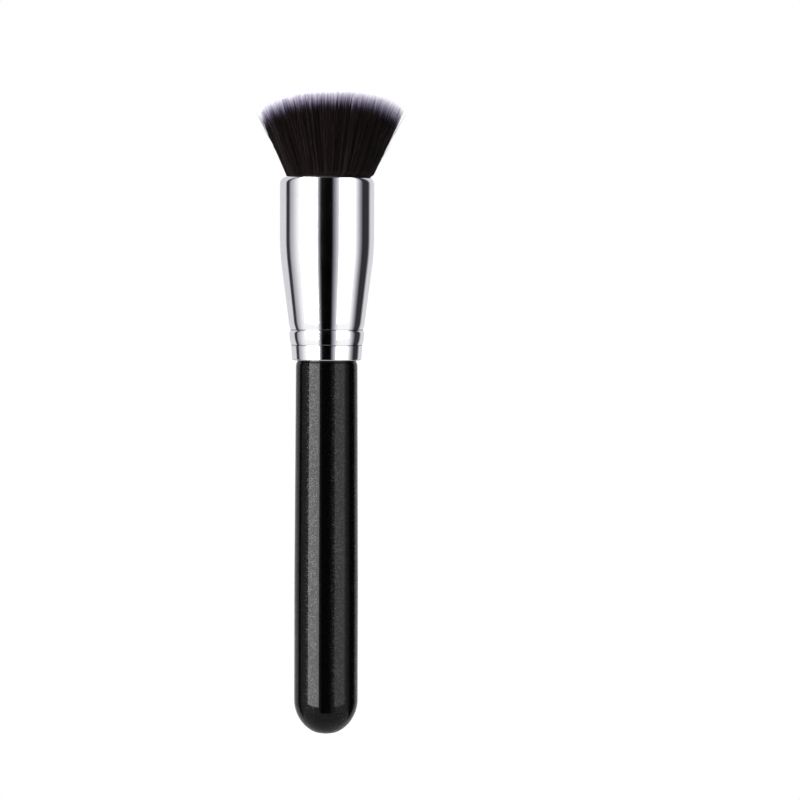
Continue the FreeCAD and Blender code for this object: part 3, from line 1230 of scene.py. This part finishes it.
@dataclass
class Studio:
    """The camera, the pale floor and the soft light."""

    datum: Datum
    distance: float = 0.6
    eye_z: float = 89.0 * MM
    aim_x: float = 18.8 * MM
    aim_z: float = 62.2 * MM
    roll: float = math.radians(0.22)
    view_width: float = 204.8 * MM
    floor_radius: float = 0.6
    floor_tint: Colour = (0.85, 0.85, 0.86)
    panels: tuple[Panel, ...] = (
        Panel(-69.0, -25.0, 2.0, 2.0, 9.2, -23.5),  # left key
        Panel(-107.0, -14.0, 8.0, 14.0, 0.4),  # left scrim
        Panel(-103.0, -14.0, 36.0, 16.0, 0.62),  # left fill
        Panel(-200.0, -115.0, 1.0, 7.0, 0.68),  # left wing
        Panel(-200.0, -171.0, 1.0, 6.0, 1.6),  # left back
        Panel(29.5, 76.0, 2.0, 12.0, 2.0, -23.5),  # right key
        Panel(12.0, 97.0, 5.0, 3.0, 0.12),  # right scrim
        Panel(12.0, 97.0, 26.0, 28.0, 0.9),  # right fill
        Panel(119.0, 200.0, 15.0, 1.0, 0.68),  # right wing
        Panel(171.0, 200.0, 6.0, 1.0, 1.6),  # right back
    )
    gap_glow: float = 0.035
    gap_angles: Pair = (60.0, 110.0)
    behind: Pair = (0.0, 0.45)
    shade_tint: Colour = (0.92, 0.89, 1.0)
    low_rise: float = 0.12
    low_edge: float = -41.0
    high_edge: float = 150.0
    low_soft: float = 4.0
    high_soft: float = 20.0
    under_glow: float = 0.76
    over_glow: float = 1.1

    def build(self) -> list[Piece]:
        """Sets up the light, the camera and the floor.

        Returns:
            The camera and the floor.
        """
        bpy.context.scene.view_settings.view_transform = "Standard"
        self.light()
        return [self.camera(), self.floor()]

    def camera(self) -> Piece:
        """Stands the camera in front of the brush and aims it.

        Returns:
            The camera.
        """
        data = bpy.data.cameras.new("camera")
        data.lens = data.sensor_width * self.distance / self.view_width
        camera = placed("camera", data)
        camera.location = (0.0, -self.distance, self.eye_z)
        aim = Vector((self.aim_x, 0.0, self.aim_z)) - camera.location
        camera.rotation_euler = aim.to_track_quat("-Z", "Y").to_euler()
        camera.rotation_euler.rotate_axis("Z", self.roll)
        bpy.context.scene.camera = camera
        return camera

    def floor(self) -> Piece:
        """Lays the floor under the butt: white to the camera, and matt to the light.

        Returns:
            The floor.
        """
        mesh = bmesh.new()
        bmesh.ops.create_circle(mesh, cap_ends=True, segments=96, radius=self.floor_radius)
        bmesh.ops.translate(mesh, verts=mesh.verts, vec=(0.0, 0.0, self.datum.butt_z))
        material = bpy.data.materials.new("pale_floor")
        graph = Graph(material)
        matt = graph.add("ShaderNodeBsdfDiffuse", None, {"Color": (*self.floor_tint, 1.0)})
        white = graph.add("ShaderNodeEmission", None, {"Strength": 1.0})
        graph.backdrop("ShaderNodeOutputMaterial", matt, white)
        floor = finished("floor", mesh, material)
        floor.visible_glossy = False
        return floor

    def light(self) -> None:
        """Surrounds the brush with soft panels, which the camera sees as plain white."""
        world = bpy.data.worlds.new("light_tent")
        bpy.context.scene.world = world
        graph = Graph(world)
        x, y, z = graph.axes(graph.add("ShaderNodeTexCoord").outputs["Generated"])
        forward = 1.0 - y
        level = x.maths("SQRT", x * x + forward * forward)
        mirror = x.maths("ARCTAN2", x, forward) * (2.0 * TO_DEGREES)
        lifted = z.maths("ARCTAN2", z, level) * (2.0 * TO_DEGREES)
        behind = y.rise(*self.behind)
        angle = mirror + (x.maths("ARCTAN2", x, -y) * TO_DEGREES - mirror) * behind
        height = lifted + (z.maths("ARCSINE", z) * TO_DEGREES - lifted) * behind
        across = angle.maths("ABSOLUTE", angle)
        fallen = height - across * self.low_rise
        around = across.rise(*self.gap_angles) * self.gap_glow
        for panel in self.panels:
            around = around + panel.light(angle, fallen)
        under = 1.0 - height.rise(self.low_edge, self.low_edge + self.low_soft)
        over = height.rise(self.high_edge, self.high_edge + self.high_soft)
        glow = around * (1.0 - under) * (1.0 - over) + under * self.under_glow + over * self.over_glow
        colour = graph.mixed(glow.rise(0.0, 1.0), self.shade_tint, WHITE)
        tent = graph.add("ShaderNodeBackground", None, {"Color": colour, "Strength": glow})
        white = graph.add("ShaderNodeBackground", None, {"Color": (*WHITE, 1.0), "Strength": 1.0})
        graph.backdrop("ShaderNodeOutputWorld", tent, white)


def main() -> None:
    """Builds the studio and the brush, and reports each piece."""
    logging.basicConfig(level=logging.INFO, format="%(name)s: %(message)s")
    datum = Datum()
    for assembly in (Studio(datum), Handle(datum), Ferrule(datum), Fillings(), Tuft(datum)):
        for piece in assembly.build():
            faces = len(piece.data.polygons) if piece.type == "MESH" else 0
            log.info("%s: %s, %d faces", type(assembly).__name__, piece.name, faces)


if __name__ == "__main__":
    main()
